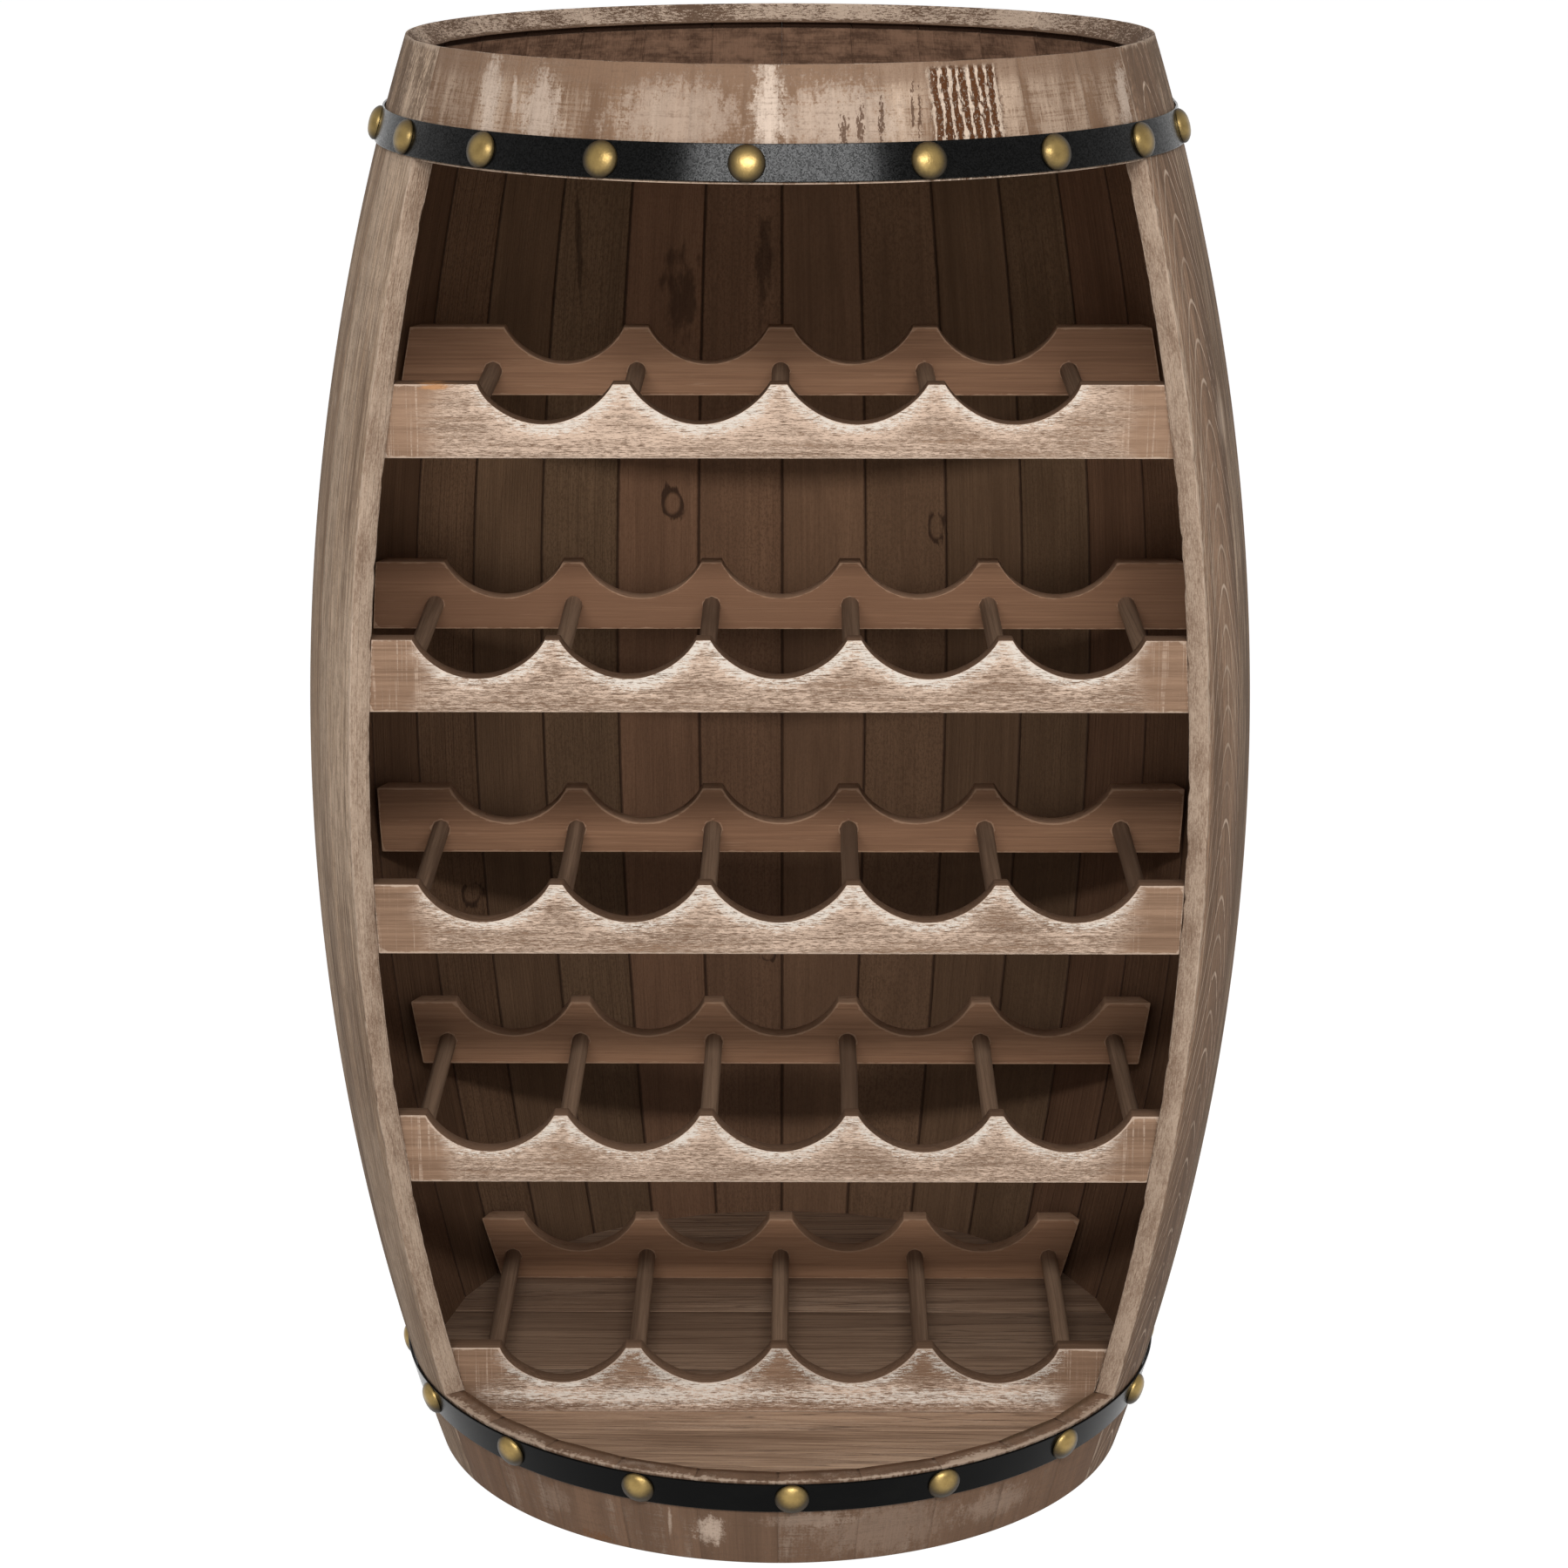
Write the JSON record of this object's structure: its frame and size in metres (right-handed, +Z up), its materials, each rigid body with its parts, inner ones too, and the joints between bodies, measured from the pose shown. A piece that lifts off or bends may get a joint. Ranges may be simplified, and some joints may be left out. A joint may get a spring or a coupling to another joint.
{
  "type": "barrel wine rack",
  "caption": "Upright barrel of bowed wooden staves, open at the front, with scalloped racks inside that hold wine bottles lying down and a recessed tray on top.",
  "frame": {"origin": "on the ground under the middle of the footprint, so the barrel's axis is about 21 mm in front of it", "axes": "+Z up along the barrel's axis, the open front faces -Y, +X to the right as seen from the front"},
  "size_m": [0.5222, 0.4834, 0.8],
  "materials": {
    "stave_wood": "stained fir, thin whitewash, worn edges",
    "plank_wood": "stained fir, matt",
    "front_board_wood": "stained fir, brushed whitewash",
    "back_board_wood": "stained fir, matt",
    "rod_wood": "stained dowel, matt",
    "hoop_steel": "black satin",
    "nail_brass": "antique brass"
  },
  "bodies": {
    "root": {"stave_01": "stave_wood", "stave_02": "stave_wood", "stave_03": "stave_wood", "stave_04": "stave_wood", "stave_05": "stave_wood", "stave_06": "stave_wood", "stave_07": "stave_wood", "stave_08": "stave_wood", "stave_09": "stave_wood", "stave_10": "stave_wood", "stave_11": "stave_wood", "stave_12": "stave_wood", "stave_13": "stave_wood", "stave_14": "stave_wood", "stave_15": "stave_wood", "stave_16": "stave_wood", "stave_17": "stave_wood", "stave_18": "stave_wood", "stave_19": "stave_wood", "stave_20": "stave_wood", "top_short_staves": "stave_wood", "foot_short_staves": "stave_wood", "head_plank_1": "plank_wood", "head_plank_2": "plank_wood", "head_plank_3": "plank_wood", "head_plank_4": "plank_wood", "head_plank_5": "plank_wood", "floor_plank_1": "plank_wood", "floor_plank_2": "plank_wood", "floor_plank_3": "plank_wood", "floor_plank_4": "plank_wood", "floor_plank_5": "plank_wood", "rack_front_1": "front_board_wood", "rack_front_2": "front_board_wood", "rack_front_3": "front_board_wood", "rack_front_4": "front_board_wood", "rack_front_5": "front_board_wood", "rack_back_1": "back_board_wood", "rack_back_2": "back_board_wood", "rack_back_3": "back_board_wood", "rack_back_4": "back_board_wood", "rack_back_5": "back_board_wood", "rack_rods_1": "rod_wood", "rack_rods_2": "rod_wood", "rack_rods_3": "rod_wood", "rack_rods_4": "rod_wood", "rack_rods_5": "rod_wood", "top_hoop": "hoop_steel", "foot_hoop": "hoop_steel", "top_hoop_nails": "nail_brass", "foot_hoop_nails": "nail_brass"}
  },
  "joints": []
}
